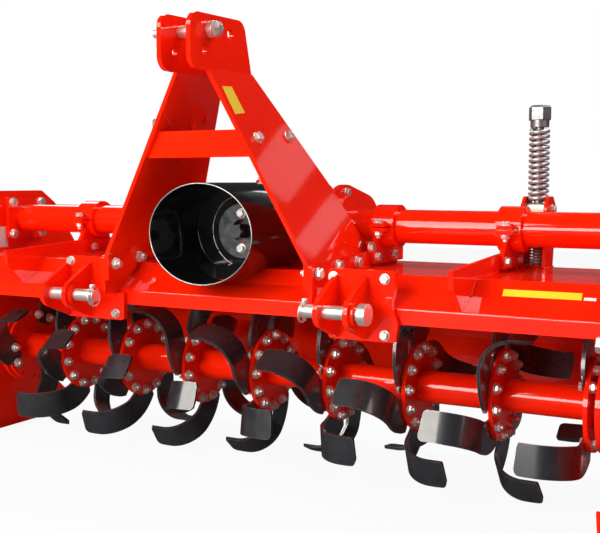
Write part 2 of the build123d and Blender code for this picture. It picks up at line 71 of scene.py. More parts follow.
class Material:
    """A node material: one shader, with noise, ramps and bump added by short calls."""

    def __init__(self, name, color, metallic=0.0, roughness=0.4, **sockets):
        self.mat = bpy.data.materials.new(name)
        self.mat.use_nodes = True
        self.tree = self.mat.node_tree
        self.shader = self.tree.nodes["Principled BSDF"]
        self.set(**{"Base Color": (*color, 1.0), "Metallic": metallic, "Roughness": roughness})
        self.set(**sockets)
        self.place = self.node("ShaderNodeTexCoord").outputs["Object"]

    def set(self, **sockets):
        for name, value in sockets.items():
            self.shader.inputs[name.replace("_", " ")].default_value = value

    def node(self, kind, **inputs):
        node = self.tree.nodes.new(kind)
        for name, value in inputs.items():
            socket = node.inputs[name.replace("_", " ")]
            if isinstance(value, bpy.types.NodeSocket):
                self.tree.links.new(value, socket)
            else:
                socket.default_value = value
        return node

    def link(self, output, socket_name):
        self.tree.links.new(output, self.shader.inputs[socket_name])

    def noise(self, scale, detail=3.0, stretch=None):
        """Cloudy value near 0.5; scale is in cells a metre."""
        place = self.place
        if stretch:
            mapping = self.node("ShaderNodeMapping", Vector=place)
            mapping.inputs["Scale"].default_value = stretch
            place = mapping.outputs[0]
        node = self.node("ShaderNodeTexNoise", Vector=place, Scale=scale, Detail=detail)
        return node.outputs[0]

    def ramp(self, value, low, high, out_low=0.0, out_high=1.0):
        """Value taken from low..high to out_low..out_high, and held at the ends."""
        node = self.node("ShaderNodeMapRange", Value=value)
        node.inputs["From Min"].default_value = low
        node.inputs["From Max"].default_value = high
        node.inputs["To Min"].default_value = out_low
        node.inputs["To Max"].default_value = out_high
        return node.outputs[0]

    def math(self, how, a, b):
        node = self.tree.nodes.new("ShaderNodeMath")
        node.operation = how
        for socket, value in zip(node.inputs, (a, b)):
            if isinstance(value, bpy.types.NodeSocket):
                self.tree.links.new(value, socket)
            else:
                socket.default_value = value
        return node.outputs[0]

    def mix(self, share, a, b):
        """Colour between a and b; each is a colour or another node's output."""
        node = self.tree.nodes.new("ShaderNodeMix")
        node.data_type = "RGBA"
        for socket, value in ((node.inputs[0], share), (node.inputs[6], a), (node.inputs[7], b)):
            if isinstance(value, bpy.types.NodeSocket):
                self.tree.links.new(value, socket)
            elif isinstance(value, float):
                socket.default_value = value
            else:
                socket.default_value = (*value, 1.0)
        return node.outputs[2]

    def edges(self, radius):
        """How much a point lies on a sharp edge, 0 to 1."""
        bevel = self.node("ShaderNodeBevel", Radius=radius)
        bevel.samples = BEVEL_SAMPLES
        flat = self.node("ShaderNodeNewGeometry").outputs["Normal"]
        dot = self.tree.nodes.new("ShaderNodeVectorMath")
        dot.operation = "DOT_PRODUCT"
        self.tree.links.new(bevel.outputs[0], dot.inputs[0])
        self.tree.links.new(flat, dot.inputs[1])
        return self.ramp(dot.outputs["Value"], 0.985, 0.90)

    def bump(self, height, strength, distance, edge_radius=0.0, socket="Normal"):
        """Relief from a height, over edges that look rounded when a radius is given."""
        node = self.node("ShaderNodeBump", Height=height, Strength=strength, Distance=distance)
        if edge_radius:
            bevel = self.node("ShaderNodeBevel", Radius=edge_radius)
            bevel.samples = BEVEL_SAMPLES
            self.tree.links.new(bevel.outputs[0], node.inputs["Normal"])
        self.link(node.outputs[0], socket)


def powder_coat(name, color, deep):
    """Glossy powder coat: orange-peel, slightly deeper patches, a thin clear layer, faint dust."""
    m = Material(name, color, roughness=0.3, Specular_IOR_Level=0.02, Coat_Weight=0.8, Coat_Roughness=0.045)
    m.link(m.mix(m.ramp(m.noise(7, 4), 0.3, 0.75), color, deep), "Base Color")
    m.link(m.ramp(m.noise(26, 3), 0.3, 0.7, 0.26, 0.36), "Roughness")
    m.bump(m.noise(95, 2), 0.16, 0.0005)
    m.link(m.ramp(m.noise(40, 3), 0.3, 0.7, 0.03, 0.07), "Coat Roughness")
    m.bump(m.noise(140, 1), 0.05, 0.0004, socket="Coat Normal")
    return m.mat


def gloss_black():
    m = Material("gloss_black", (0.006, 0.006, 0.007), roughness=0.14, Coat_Weight=1.0, Coat_Roughness=0.03)
    m.link(m.ramp(m.noise(14, 4), 0.35, 0.7, 0.10, 0.22), "Roughness")
    streaks = m.noise(30, 3, stretch=(1, 0.1, 1))
    m.bump(streaks, 0.3, 0.002, 0.002)
    m.bump(streaks, 0.35, 0.002, 0.002, "Coat Normal")
    return m.mat


def blade_coat():
    """Satin black paint, with bright steel on the sharp edges: partly worn-through paint, partly a painted
    edge highlight.
    """
    coat, worn, steel = (0.0155, 0.0175, 0.021), (0.023, 0.026, 0.031), (0.66, 0.66, 0.66)
    m = Material("blade_coat", coat, roughness=0.3, Coat_Weight=0.7, Coat_Roughness=0.10)
    # bright steel on the sharp edges: partly worn paint, partly a painted highlight standing in for edge
    # glints
    wear_and_glint_edges = m.math("MULTIPLY", m.edges(0.0008), m.ramp(m.noise(55, 4), 0.34, 0.60, 0.1, 0.9))
    m.link(m.mix(wear_and_glint_edges, m.mix(m.ramp(m.noise(25, 5), 0.35, 0.7), coat, worn), steel), "Base Color")
    m.link(m.math("MULTIPLY", wear_and_glint_edges, 0.9), "Metallic")
    m.link(m.ramp(m.noise(40, 2), 0.3, 0.7, 0.26, 0.34), "Roughness")
    m.bump(m.noise(60, 1), 0.08, 0.0006)
    return m.mat


def plated(name, color, tint, rough):
    """Zinc-plated or bare steel, with a slight change of tint over each piece."""
    m = Material(name, color, metallic=0.85, roughness=rough)
    m.link(m.mix(m.ramp(m.noise(45, 3), 0.35, 0.65), color, tint), "Base Color")
    m.link(m.ramp(m.noise(90, 3), 0.3, 0.7, rough - 0.05, rough + 0.07), "Roughness")
    m.bump(m.noise(200, 2), 0.05, 0.0004, 0.0012)
    return m.mat


def sticker(name, color):
    m = Material(name, color, roughness=0.35, Coat_Weight=0.5, Coat_Roughness=0.1)
    m.link(m.mix(m.ramp(m.noise(80, 3), 0.4, 0.7), color, tuple(c * 0.93 for c in color)), "Base Color")
    m.bump(m.noise(220, 2), 0.05, 0.0003)
    return m.mat


ORANGE = powder_coat("orange_paint", (0.90, 0.017, 0.0009), (0.84, 0.010, 0.0005))
BLACK = gloss_black()
BLADE = blade_coat()
ZINC = plated("zinc_plate", (0.90, 0.87, 0.80), (0.82, 0.81, 0.78), 0.36)
STEEL = plated("bare_steel", (0.70, 0.69, 0.67), (0.60, 0.59, 0.56), 0.30)
# dark steel for the input shaft and its splines: partly the shaft's own colour, partly painted shade, as the
# collar is darkened to match the shadow round the shaft's end
DARK_STEEL_AND_SHADE = plated("dark_steel_and_shade", (0.10, 0.105, 0.11), (0.07, 0.07, 0.075), 0.36)
SPRING = plated("spring_steel", (0.60, 0.63, 0.64), (0.48, 0.51, 0.53), 0.42)
# spring rods coloured dark as painted shade in the gaps between the coils; the rod nuts share this look
ROD_PAINTED_SHADE = plated("rod_painted_shade", (0.32, 0.33, 0.32), (0.24, 0.25, 0.25), 0.42)
DUSTY = plated("dusty_black", (0.12, 0.122, 0.125), (0.05, 0.052, 0.055), 0.45)
GREY_ZINC = plated("guide_zinc", (0.60, 0.62, 0.54), (0.50, 0.53, 0.46), 0.40)
YELLOW = sticker("yellow_label", (0.86, 0.62, 0.02))
WHITE = sticker("white_strip", (0.80, 0.80, 0.78))
SILVER = sticker("blank_plate", (0.60, 0.57, 0.57))

# the input shaft's dark look is partly painted shade round its end
NODE_LOOKS = {"pto_shield": BLACK, "input_shaft": DARK_STEEL_AND_SHADE, "hinge_rod": STEEL, "top_link_pin": ZINC}
NODE_LOOKS |= {f"lower_pin_{side}": ZINC for side in ("right", "left")}
# the spring rods take the darkened look, a painted shade between the coils
NODE_LOOKS |= {f"spring_rod_{side}": ROD_PAINTED_SHADE for side in ("right", "left")}
NODE_LOOKS |= {f"guide_block_{side}": GREY_ZINC for side in ("right", "left")}
NODE_LOOKS |= {f"blades_{i}": BLADE for i in range(1, 10)}
for name, obj in frame["nodes"].items():
    look = NODE_LOOKS.get(name, ORANGE)
    obj.data.materials.clear()
    obj.data.materials.append(look)


# ---- small mesh kit -----------------------------------------------------------------------
def turned(profile, sides, twist=0.0):
    """Template of a body of revolution about +Z from (radius, height) points in mm."""
    verts, faces = [], []
    rings = []
    for radius, height in profile:
        if radius < 1e-6:
            rings.append([len(verts)])
            verts.append((0.0, 0.0, height * MM))
            continue
        rings.append(list(range(len(verts), len(verts) + sides)))
        for k in range(sides):
            a = twist + 2 * math.pi * k / sides
            verts.append((radius * MM * math.cos(a), radius * MM * math.sin(a), height * MM))
    for low, high in zip(rings, rings[1:]):
        for k in range(sides):
            n = (k + 1) % sides
            if len(low) == 1:
                faces.append((low[0], high[n], high[k]))
            elif len(high) == 1:
                faces.append((low[k], low[n], high[0]))
            else:
                faces.append((low[k], low[n], high[n], high[k]))
    return verts, faces, False


class Heap:
    """Placed copies of templates that become one mesh piece."""

    def __init__(self):
        self.verts, self.faces, self.smooth = [], [], []

    def add(self, template, matrix=None):
        verts, faces, smooth = template
        base = len(self.verts)
        matrix = matrix or Matrix()
        self.verts += [matrix @ Vector(v) for v in verts]
        self.faces += [tuple(base + i for i in face) for face in faces]
        self.smooth += [smooth] * len(faces)

    def piece(self, name, look, body):
        mesh = bpy.data.meshes.new(name)
        mesh.from_pydata(self.verts, [], self.faces)
        for polygon, smooth in zip(mesh.polygons, self.smooth):
            polygon.use_smooth = smooth
        mesh.materials.append(look)
        mesh.update()
        obj = bpy.data.objects.new(name, mesh)
        bpy.context.collection.objects.link(obj)
        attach(obj, body)
        return obj


def aim(place, direction, spin=0.0):
    """Matrix that puts a template's base at place with its +Z along direction."""
    turn = Vector(direction).normalized().to_track_quat("Z", "Y").to_matrix().to_4x4()
    return Matrix.Translation(place) @ turn @ Matrix.Rotation(spin, 4, "Z")


def hexagon(across, height):
    r = across / math.sqrt(3)
    return turned([(r * 0.90, 0), (r, height * 0.12), (r, height * 0.80), (r * 0.86, height), (0, height)], 6)


# a washer's section, and a head's width and height, as shares of the thread's diameter
WASHER_T_SHARE, HEAD_WIDTH, HEAD_HEIGHT = 0.18, 1.5, 0.64
WASHER = ((0.95, 0), (1, 0.04), (1, 0.15), (0.95, WASHER_T_SHARE), (0.4, WASHER_T_SHARE))
THREAD_PITCH, THREAD_DEPTH = 1.5, 0.8


def add_bolt(heap, place, direction, size, washer=True):
    """Hex head on a washer; size is the thread's diameter in mm."""
    spin = random.uniform(0, math.pi / 3)
    lift = 0.0
    if washer:
        heap.add(turned([(size * r, size * h) for r, h in WASHER], 24), aim(place, direction))
        lift = size * WASHER_T_SHARE
    up = Vector(direction).normalized()
    heap.add(hexagon(size * HEAD_WIDTH, size * HEAD_HEIGHT), aim(place + up * lift * MM, direction, spin))


def add_nut(heap, place, direction, size, tail=6.0):
    """Washer and nut with the end of the thread standing out."""
    add_bolt(heap, place, direction, size)
    up = Vector(direction).normalized()
    top = place + up * size * (WASHER_T_SHARE + HEAD_HEIGHT) * MM
    r = size / 2
    thread = [(r, 0)]
    for k in range(int(tail / THREAD_PITCH)):
        thread += [(r, k * THREAD_PITCH), (r - THREAD_DEPTH, (k + 0.5) * THREAD_PITCH)]
    thread += [(r - 0.4, tail - 0.5), (r - 1.4, tail), (0, tail)]
    heap.add(turned(thread, 16), aim(top, direction))


def swept(points, radius, sides=8, closed=False):
    """Template of a round bar along points, given in metres."""
    verts, faces = [], []
    count = len(points)
    normal = None
    for i, p in enumerate(points):
        before = points[i - 1] if (i or closed) else p
        after = points[(i + 1) % count] if (i + 1 < count or closed) else p
        ahead = (after - before).normalized()
        if normal is None:
            normal = ahead.orthogonal().normalized()
        normal = (normal - ahead * normal.dot(ahead)).normalized()
        side = ahead.cross(normal)
        r = radius(i) if callable(radius) else radius
        for k in range(sides):
            a = 2 * math.pi * k / sides
            verts.append(p + (normal * math.cos(a) + side * math.sin(a)) * r * MM)
    spans = count if closed else count - 1
    for i in range(spans):
        j = (i + 1) % count
        for k in range(sides):
            n = (k + 1) % sides
            faces.append((i * sides + k, i * sides + n, j * sides + n, j * sides + k))
    if not closed:
        faces.append(tuple(range(sides))[::-1])
        faces.append(tuple(range((count - 1) * sides, count * sides)))
    return verts, faces, True


def add_weld(heap, start, end, radius=4.0):
    """Bead with fine ripples along a straight joint."""
    length = (end - start).length
    steps = max(4, int(length / (4 * MM)))
    points = [start.lerp(end, i / steps) for i in range(steps + 1)]
    heap.add(swept(points, lambda i: radius * (0.92 + 0.14 * (i % 2) + random.uniform(-0.05, 0.05)), 7))


def plate(points, thickness):
    """Thin sticker or plate from its corners in order, lifted along its own normal."""
    normal = (points[1] - points[0]).cross(points[2] - points[1]).normalized()
    low = [p.copy() for p in points]
    high = [p + normal * thickness * MM for p in points]
    n = len(points)
    faces = [tuple(range(n))[::-1], tuple(range(n, 2 * n))]
    faces += [(i, (i + 1) % n, n + (i + 1) % n, n + i) for i in range(n)]
    return low + high, faces, False


# ---- sizes that several sections share, in mm as at() takes them ----------------------------
AXLE_Z = 275.0
TUBE_Y, TUBE_Z = 60.0, 687.0
PTO_Z = 675.0
HITCH_Y, HITCH_Z = -373.0, 506.0
TOP_Y, TOP_Z = -368.0, 1172.0
DECK_Z, DECK_FOLD_Y, DECK_REAR_Y = 584, -202, 184
LIP_Y, LIP_Z = -231, 545
BRACKET_Y = -300
SIDE_PLATE_X, PLATE_T = 985, 12
SHIELD_WALL_Y, SHIELD_BOSS_Y = -134, -149
ROD_Y, ROD_BRACKETS_X = 170.0, (709, -500)


# ---- camera -------------------------------------------------------------------------------
CAMERA_PLACE = at(1416, -2399, 809)
CAMERA_DOWN, CAMERA_TURN = 4.94, 28.83
LENS, SENSOR = 59.7, 36.0

camera = bpy.data.objects.new("camera", bpy.data.cameras.new("camera"))
camera.data.lens = LENS
camera.data.sensor_width = SENSOR
camera.data.clip_start = 0.05
camera.location = CAMERA_PLACE
camera.rotation_euler = (math.radians(90 - CAMERA_DOWN), 0.0, math.radians(CAMERA_TURN))
bpy.context.collection.objects.link(camera)
bpy.context.scene.camera = camera
bpy.context.scene.view_settings.view_transform = "Standard"


# ---- lamps --------------------------------------------------------------------------------
def add_area(name, place, target, size, power, color=(1, 1, 1)):
    lamp = bpy.data.lights.new(name, "AREA")
    lamp.shape = "RECTANGLE"
    lamp.size, lamp.size_y = size
    lamp.energy = power
    lamp.color = color
    obj = bpy.data.objects.new(name, lamp)
    obj.location = place
    obj.rotation_euler = (Vector(target) - Vector(place)).to_track_quat("-Z", "Y").to_euler()
    bpy.context.collection.objects.link(obj)


# a low strip in front, seen as the pale band along both tubes, under the main softbox
add_area("strip", at(-550, -4600, 1330), at(0, 0, 600), (2.1, 1.5), 135, (1, 0.97, 0.93))
add_area("key", (-2.3, -4.2, 3.2), (0, 0, 0.5), (3.2, 2.0), 215, (1, 0.95, 0.89))
add_area("right_fill", (4.0, -1.0, 2.6), (0, 0, 0.5), (1.6, 2.2), 46, (1, 0.78, 0.74))
add_area("rear_fill", (-3.2, 2.6, 3.4), (0, 0, 0.5), (1.8, 1.6), 60)
add_area("top_fill", (1.7, 0.9, 3.4), (0.4, 0.1, 0.5), (1.2, 1.2), 60)
# two panes behind the machine, seen as pale patches on the mast's right leg
add_area("pane_high", (1.25, 3.5, 2.66), (0.2, -0.2, 0.8), (0.42, 0.34), 0.33)
add_area("pane_low", (1.45, 3.5, 2.20), (0.2, -0.2, 0.7), (0.42, 0.17), 0.19)
# thin strips seen as streaks on the shield, and a dim panel seen in the deck
add_area("streak_high", (-0.3, 3.5, 2.7), (0, 0, 0.7), (1.5, 0.07), 1.3)
add_area("streak_low", (0.1, 3.5, 1.9), (0, 0, 0.7), (1.1, 0.05), 0.8)
add_area("deck_panel", (-1.1, 3.6, 1.0), (0, 0, 0.6), (2.6, 0.5), 0.4)


# ---- studio -------------------------------------------------------------------------------
WALL_COLOR, WALL_GLOW, WALL_MIRRORED = (0.93, 0.95, 1.0, 1.0), 0.12, 0.03
FLOOR_HALF, FLOOR_ROUGHNESS = 9.0, 0.9
FLOOR_COLOR, FLOOR_MIRRORED = (0.84, 0.84, 0.84, 1), (0.08, 0.08, 0.085, 1)
FLOOR_OWN_LIGHT = 0.93


def build_world():
    """White for the camera; a dim pale wall for light, dimmer still where a glossy surface mirrors it."""
    world = bpy.data.worlds.new("studio")
    bpy.context.scene.world = world
    world.use_nodes = True
    nodes, link = world.node_tree.nodes, world.node_tree.links.new
    paths = nodes.new("ShaderNodeLightPath")
    plain = nodes["Background"]
    plain.inputs["Color"].default_value = WALL_COLOR
    dim = nodes.new("ShaderNodeMapRange")
    dim.inputs["To Min"].default_value = WALL_GLOW
    dim.inputs["To Max"].default_value = WALL_MIRRORED
    link(paths.outputs["Is Glossy Ray"], dim.inputs["Value"])
    link(dim.outputs[0], plain.inputs["Strength"])
    white = nodes.new("ShaderNodeBackground")
    white.inputs["Strength"].default_value = 1.0
    white.inputs["Color"].default_value = (1, 1, 1, 1)
    shown = nodes.new("ShaderNodeMixShader")
    link(paths.outputs["Is Camera Ray"], shown.inputs[0])
    link(plain.outputs[0], shown.inputs[1])
    link(white.outputs[0], shown.inputs[2])
    link(shown.outputs[0], nodes["World Output"].inputs["Surface"])


def floor_material():
    """Mostly its own light where the camera sees it, so that only a faint shadow is left."""
    look = bpy.data.materials.new("floor_white")
    look.use_nodes = True
    nodes, link = look.node_tree.nodes, look.node_tree.links.new
    matte = nodes["Principled BSDF"]
    matte.inputs["Roughness"].default_value = FLOOR_ROUGHNESS
    glow = nodes.new("ShaderNodeEmission")
    paths = nodes.new("ShaderNodeLightPath")
    # the studio's floor was darker in reflections than the white that the picture shows
    tone = nodes.new("ShaderNodeMix")
    tone.data_type = "RGBA"
    tone.inputs[6].default_value = FLOOR_COLOR
    tone.inputs[7].default_value = FLOOR_MIRRORED
    link(paths.outputs["Is Glossy Ray"], tone.inputs[0])
    link(tone.outputs[2], matte.inputs["Base Color"])
    share = nodes.new("ShaderNodeMath")
    share.operation = "MULTIPLY"
    share.inputs[1].default_value = FLOOR_OWN_LIGHT
    blend = nodes.new("ShaderNodeMixShader")
    link(paths.outputs["Is Camera Ray"], share.inputs[0])
    link(share.outputs[0], blend.inputs[0])
    link(matte.outputs[0], blend.inputs[1])
    link(glow.outputs[0], blend.inputs[2])
    link(blend.outputs[0], nodes["Material Output"].inputs["Surface"])
    return look


def build_floor():
    mesh = bpy.data.meshes.new("floor")
    corners = [(sx * FLOOR_HALF, sy * FLOOR_HALF, 0) for sx, sy in ((-1, -1), (1, -1), (1, 1), (-1, 1))]
    mesh.from_pydata(corners, [], [(0, 1, 2, 3)])
    floor = bpy.data.objects.new("floor", mesh)
    bpy.context.collection.objects.link(floor)
    mesh.materials.append(floor_material())


build_world()
build_floor()


# ---- springs ------------------------------------------------------------------------------
GUIDE_TOP, NUT_Z, COLLAR_Z, BRACKET_FOOT_Z = 751.0, 964.0, 700.0, 590.0
WASHER_T, NUT_HEIGHT = 18, 39
SPRING_TRAVEL, COIL_R = 46.0, 21.5
TURN_STEPS, FLAT_TURNS, FLAT_RISE = 26, 0.8, 0.9
# name, lower end, upper end, number of turns, radius of the wire
SPRINGS = (
    ("upper_spring", GUIDE_TOP, NUT_Z - WASHER_T, 13.5, 5.5),
    ("lower_spring", BRACKET_FOOT_Z, COLLAR_Z, 14.0, 3.0),
)
ROD_NUT = [(27, 0), (29, 2), (29, 33), (25, 38.6), (0, NUT_HEIGHT)]


def helix(x, low, high, turns, wire):
    """Coil spring whose first and last turns lie flat."""
    height = high - low - 2 * wire
    start = FLAT_TURNS * 2 * wire / height * FLAT_RISE
    points = []
    for i in range(int(turns * TURN_STEPS) + 1):
        turn = i / TURN_STEPS
        if turn < FLAT_TURNS:
            rise = turn * 2 * wire / height * FLAT_RISE
        elif turn > turns - FLAT_TURNS:
            rise = 1 - (turns - turn) * 2 * wire / height * FLAT_RISE
        else:
            rise = start + (turn - FLAT_TURNS) / (turns - 2 * FLAT_TURNS) * (1 - 2 * start)
        a = 2 * math.pi * turn
        z = low + wire + rise * height
        points.append(at(x + COIL_R * math.cos(a), ROD_Y + COIL_R * math.sin(a), z))
    return swept(points, wire, 8)


def dress_spring_rod(side):
    """Coils in place of the plain spring sleeves, and the nut on the rod's end."""
    low_corner, high_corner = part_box(f"spring_rod_{side}")
    rod_x = (low_corner[0] + high_corner[0]) / 2 / MM
    for name, low, high, turns, wire in SPRINGS:
        heap = Heap()
        heap.add(helix(rod_x, low, high, turns, wire))
        coil = heap.piece(f"{name}_coil_{side}", SPRING, "frame")
        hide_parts(f"{name}_{side}")
        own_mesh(coil)
    nut = Heap()
    rod_top = high_corner[2] / MM
    nut.add(turned(ROD_NUT, 6), Matrix.Translation(at(rod_x, ROD_Y, rod_top - NUT_HEIGHT)))
    nut.piece(f"rod_nut_{side}", ROD_PAINTED_SHADE, f"spring_rod_{side}")


for side_name in ("right", "left"):
    dress_spring_rod(side_name)


# ---- rotor bolts --------------------------------------------------------------------------
FLANGES, BLADES_A_FACE = 9, 3
FLANGE_STEP, FLANGE_T, BLADE_T, BOLT_R = 225.0, 10.0, 8.0, 100.0
# in degrees: the last flange's first blade tip, the helix's turn from flange to flange, how far a
# blade's bolts lag its tip, and half the angle between its two bolts
LAST_TIP, HELIX, LAG, HALF_PITCH = 115.3, 15.0, 45.7, 15
BLADE_TURN, FACE_TURN = 120, 60


def blade_tips(i):
    """Angles of one flange's blade tips; the end flanges carry blades on one face only."""
    first = LAST_TIP + HELIX * (i - (FLANGES - 1))
    tips = [first + BLADE_TURN * k for k in range(BLADES_A_FACE) if i > 0]
    return tips + [first + FACE_TURN + BLADE_TURN * k for k in range(BLADES_A_FACE) if i < FLANGES - 1]


rotor_bolts = Heap()
for i in range(FLANGES):
    x = (i - FLANGES // 2) * FLANGE_STEP
    # the first flange carries its blades on the other face
    nut_x, head_x = (x + FLANGE_T + BLADE_T, x) if i == 0 else (x + FLANGE_T, x - BLADE_T)
    for tip in blade_tips(i):
        for turn in (LAG - HALF_PITCH, LAG + HALF_PITCH):
            a = math.radians(tip + turn)
            y, z = -BOLT_R * math.sin(a), AXLE_Z + BOLT_R * math.cos(a)
            add_nut(rotor_bolts, at(nut_x, y, z), (1, 0, 0), size=15, tail=6)
            add_bolt(rotor_bolts, at(head_x, y, z), (-1, 0, 0), size=14, washer=False)
rotor_bolts.piece("rotor_bolts", ZINC, "rotor")


# ---- frame bolts --------------------------------------------------------------------------
SUPPORT_X, MAST_INNER_X = 318, 294
MAST_FOOT_BOLTS = ((-316, 588), (-212, 599), (-102, 600.5), (-22, 634))         # y, z
CLAMP_LIP_Y, CLAMP_LIP_RISE, CLAMP_FOOT_Z = -15, 11, 608
# x of the bolt through a clamp's lips, x of its foot's outer face, y of the foot's bolts
TUBE_CLAMPS = ((338, 330, (-5, 104)), (680, 680, (-5, 97)))
TUBE_FLANGE_X, TUBE_FLANGE_DY, TUBE_FLANGE_DZ = 971, 64, 51
GEARBOX_FLANGE_X, GEARBOX_FLANGE_R = 224, 66
GEARBOX_FLANGE_ANGLES = (0, -45, -90, -135, 180)
GEARBOX_COVER_X = 208
# middle of an arc of the cover's rim (y, z), radius of its bolts, their angles
COVER_ARCS = ((60, 680, 96, (91, 180)), (180, 665, 84, (0,)))
BRACKET_BOLTS = ((352, 582), (485, 582), (485, 450), (-461, 588), (-307, 451))  # x, z
LEFT_GUSSET_BOLT, ROD_EAR_BOLT = (-656, 24, 603), (743, 180, 735)
LEG_OUT = Vector((468, 0, 257)).normalized()
BRACE_BOLTS = ((141, -300, 912), (136, -138, 921))
BRACE_STUDS = ((-107.5, -220, 951.5), (-97.6, -169.5, 969.6))
HUB_X, HUB_BOLT_R, CAP_X, CAP_BOLT_R = -1011, 76, -1043, 44
CASE_X, CASE_UPPER_R, CASE_LOWER_R, CASE_LEAN = 1049, 69.0, 89.0, 9
CASE_ARC_START, CASE_ARC_STEP, CASE_ARC_BOLTS = -72, 24, 7
CASE_SIDE_SHARES = (0.2, 0.4, 0.6, 0.8)
BOSS_FACE = [(31, 0), (31, 0.8), (72.5, 0.8), (73.6, 0)]
BOSS_BOLT_Y, BOSS_BOLT_RISE = -149.6, 47
SKID_STUB_Y, SKID_STUB_Z = -300, 468
WALL_BOLTS = ((-83, 617), (83, 617))                                            # x, z


def add_mast_foot_bolts(heap, side):
    """Through the support plate and the foot of the mast."""
    for y, z in MAST_FOOT_BOLTS:
        add_bolt(heap, at(side * SUPPORT_X, y, z), (side, 0, 0), size=16)
        add_nut(heap, at(side * MAST_INNER_X, y, z), (-side, 0, 0), size=16, tail=7)


def add_clamp_bolts(heap, side):
    """An upright bolt through each clamp's lips, and two through its foot."""
    for lip_x, foot_x, foot_ys in TUBE_CLAMPS:
        add_bolt(heap, at(side * lip_x, CLAMP_LIP_Y, TUBE_Z + CLAMP_LIP_RISE), (0, 0, 1), size=13)
        add_nut(heap, at(side * lip_x, CLAMP_LIP_Y, TUBE_Z - CLAMP_LIP_RISE), (0, 0, -1), size=13, tail=7)
        for y in foot_ys:
            add_bolt(heap, at(side * foot_x, y, CLAMP_FOOT_Z), (side, 0, 0), size=14)


def add_tube_flange_bolts(heap, side):
    """Cross tube's flange on the side plate; the drive case hides the nuts on the right."""
    for dy in (-TUBE_FLANGE_DY, TUBE_FLANGE_DY):
        for dz in (-TUBE_FLANGE_DZ, TUBE_FLANGE_DZ):
            y, z = TUBE_Y + dy, TUBE_Z + dz
            add_bolt(heap, at(side * TUBE_FLANGE_X, y, z), (-side, 0, 0), size=16)
            if side < 0:
                add_nut(heap, at(-SIDE_PLATE_X - PLATE_T, y, z), (-1, 0, 0), size=16)


def add_gearbox_bolts(heap, side):
    """Flange to the cross tube, and the rim of the gearbox's cover."""
    for degrees in GEARBOX_FLANGE_ANGLES:
        a = math.radians(degrees)
        y, z = TUBE_Y + GEARBOX_FLANGE_R * math.cos(a), TUBE_Z + GEARBOX_FLANGE_R * math.sin(a)
        add_bolt(heap, at(side * GEARBOX_FLANGE_X, y, z), (side, 0, 0), size=12)
    for arc_y, arc_z, r, angles in COVER_ARCS:
        for degrees in angles:
            a = math.radians(degrees)
            y, z = arc_y + r * math.cos(a), arc_z + r * math.sin(a)
            add_bolt(heap, at(side * GEARBOX_COVER_X, y, z), (side, 0, 0), size=14)


def add_brace_bolts(heap):
    """Zinc heads outside the right leg, painted stud ends inside the left one."""
    for place in BRACE_BOLTS:
        add_bolt(heap, at(*place), LEG_OUT, size=16)
    studs = Heap()
    for place in BRACE_STUDS:
        add_bolt(studs, at(*place), (LEG_OUT.x, 0, -LEG_OUT.z), size=10)
    studs.piece("brace_studs", ORANGE, "frame")


def add_hub_bolts(heap):
    """Bearing hub and its cap."""
    for k in range(6):
        a = math.radians(60 * k + 30)
        out, up = math.sin(a), math.cos(a)
        add_bolt(heap, at(HUB_X, HUB_BOLT_R * out, AXLE_Z + HUB_BOLT_R * up), (-1, 0, 0), size=14)
        cap_place = at(CAP_X, CAP_BOLT_R * out, AXLE_Z + CAP_BOLT_R * up)
        add_bolt(heap, cap_place, (-1, 0, 0), size=8, washer=False)


def add_case_bolts(heap):
    """Cover of the side drive case: its upper and lower arcs, then its straight sides."""
    rim = []
    for k in range(CASE_ARC_BOLTS):
        a = math.radians(CASE_ARC_START + CASE_ARC_STEP * k)
        rim.append((TUBE_Y + CASE_UPPER_R * math.sin(a), TUBE_Z + CASE_UPPER_R * math.cos(a)))
        rim.append((-CASE_LOWER_R * math.sin(a), AXLE_Z - CASE_LOWER_R * math.cos(a)))
    for down in CASE_SIDE_SHARES:
        r = CASE_UPPER_R + (CASE_LOWER_R - CASE_UPPER_R) * down
        middle_y, middle_z = TUBE_Y * (1 - down), TUBE_Z + (AXLE_Z - TUBE_Z) * down
        rim += [(middle_y + edge * r, middle_z + edge * CASE_LEAN) for edge in (-1, 1)]
    for y, z in rim:
        add_bolt(heap, at(CASE_X, y, z), (1, 0, 0), size=10, washer=False)


def add_boss_bolts(heap):
    """Dusty face of the boss in the shield, and its two bolts."""
    boss = Heap()
    boss.add(turned(BOSS_FACE, 64), aim(at(0, SHIELD_BOSS_Y, PTO_Z), (0, -1, 0)))
    boss.piece("boss_face", DUSTY, "frame")
    for dz in (-BOSS_BOLT_RISE, BOSS_BOLT_RISE):
        add_bolt(heap, at(0, BOSS_BOLT_Y, PTO_Z + dz), (0, -1, 0), size=13.5)


def add_skid_stub(heap):
    """Stub of the skid's adjustment, through the drive side's plate."""
    add_bolt(heap, at(SIDE_PLATE_X, SKID_STUB_Y, SKID_STUB_Z), (-1, 0, 0), size=22)
    add_nut(heap, at(SIDE_PLATE_X + PLATE_T, SKID_STUB_Y, SKID_STUB_Z), (1, 0, 0), size=22, tail=5)


bolts = Heap()
for s in (-1, 1):
    add_mast_foot_bolts(bolts, s)
    add_clamp_bolts(bolts, s)
    add_tube_flange_bolts(bolts, s)
    add_gearbox_bolts(bolts, s)
for x, z in BRACKET_BOLTS:
    add_bolt(bolts, at(x, BRACKET_Y, z), (0, -1, 0), size=13)
add_bolt(bolts, at(*LEFT_GUSSET_BOLT), (1, 0, 0), size=13)
add_bolt(bolts, at(*ROD_EAR_BOLT), (1, 0, 0), size=12)
add_brace_bolts(bolts)
add_hub_bolts(bolts)
add_case_bolts(bolts)
add_boss_bolts(bolts)
add_skid_stub(bolts)
bolts.piece("frame_bolts", ZINC, "frame")

black_bolts = Heap()
for x, z in WALL_BOLTS:
    add_bolt(black_bolts, at(x, SHIELD_WALL_Y, z), (0, -1, 0), size=10)
black_bolts.piece("shield_bolts", BLACK, "frame")


